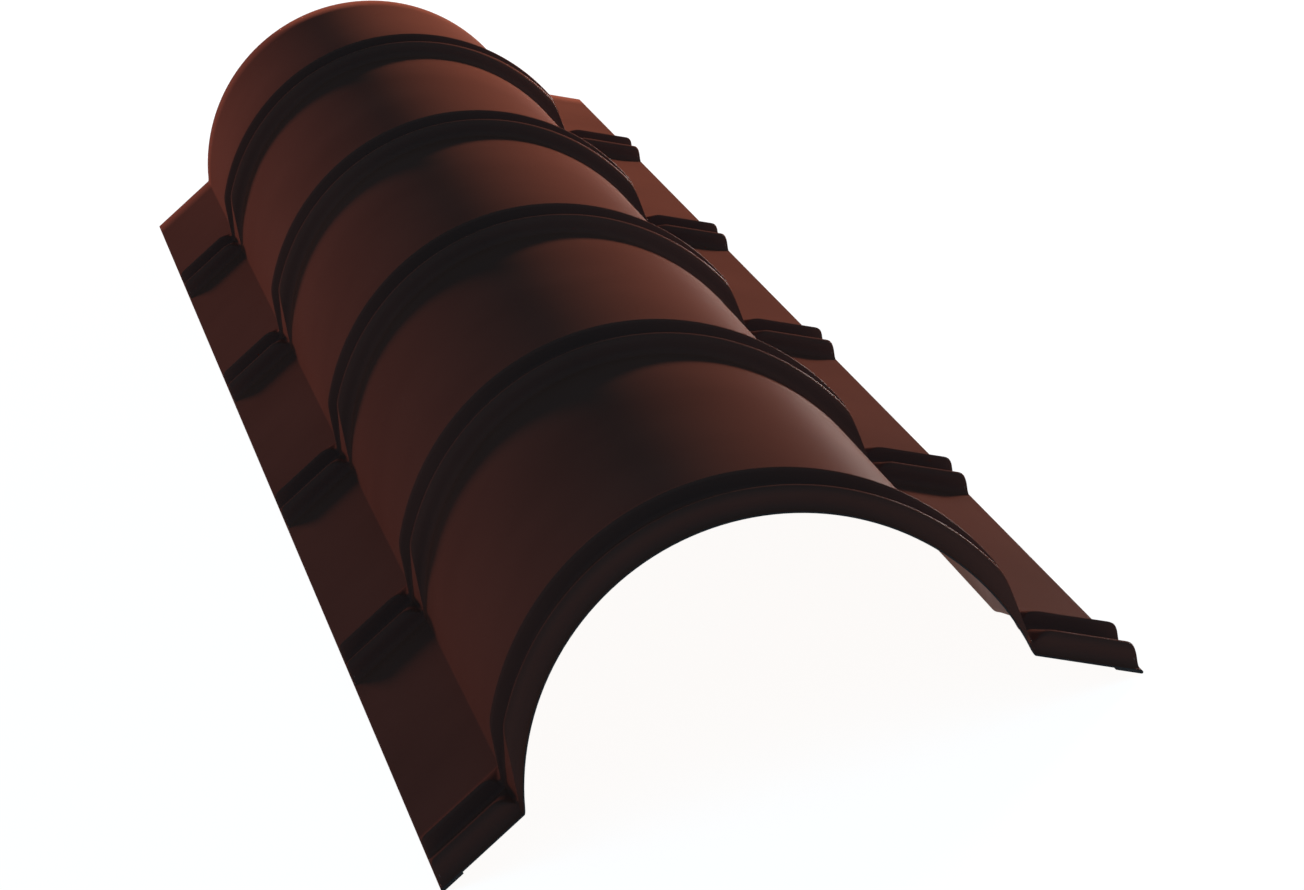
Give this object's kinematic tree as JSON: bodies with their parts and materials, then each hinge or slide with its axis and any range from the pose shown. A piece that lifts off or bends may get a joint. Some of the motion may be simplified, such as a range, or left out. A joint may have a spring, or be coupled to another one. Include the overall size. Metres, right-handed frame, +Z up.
{
  "type": "ridge cap",
  "caption": "Half-round pressed steel roof ridge cap in dark brown paint, with raised double steps across it and sloping flanges along both sides.",
  "frame": {"origin": "centre of the footprint on the floor, under the crown, halfway along the cap", "axes": "+Z up, +Y along the ridge from the end with the short lip (-Y) to the plain lap end (+Y), +X across the ridge to the right when looking along +Y"},
  "size_m": [0.2934, 1.697, 0.1188],
  "materials": {
    "painted_steel": "matt"
  },
  "bodies": {
    "root": {"ridge_cap": "painted_steel"}
  },
  "joints": []
}
